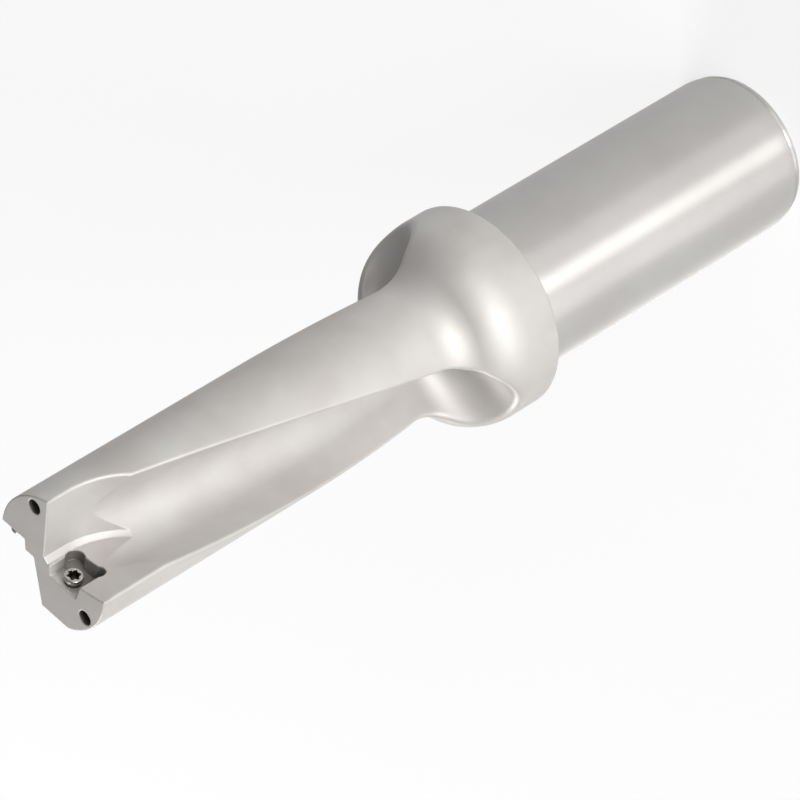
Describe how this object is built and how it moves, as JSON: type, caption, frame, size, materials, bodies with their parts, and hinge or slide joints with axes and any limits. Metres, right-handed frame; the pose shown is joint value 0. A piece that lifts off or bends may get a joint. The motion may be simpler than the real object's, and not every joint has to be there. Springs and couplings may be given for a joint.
{
  "type": "indexable drill",
  "caption": "Steel indexable drill with twisted chip flutes, open insert seats with clamp screws, coolant holes in the front face, a round flange and a plain cylindrical shank.",
  "frame": {"origin": "centre of the shank end face, on which the drill stands", "axes": "+Z along the drill's axis from the shank end to the cutting end; the inner insert seat lies on -X and faces -Y, the outer seat lies on +X and faces +Y"},
  "size_m": [0.0316, 0.0316, 0.1386],
  "materials": {
    "satin_steel": "fine blasted satin, with a ground shank",
    "screw_steel": "hardened and tempered, slightly darker"
  },
  "bodies": {
    "root": {"drill_body": "satin_steel", "inner_insert_screw": "screw_steel", "outer_insert_screw": "screw_steel"}
  },
  "joints": []
}
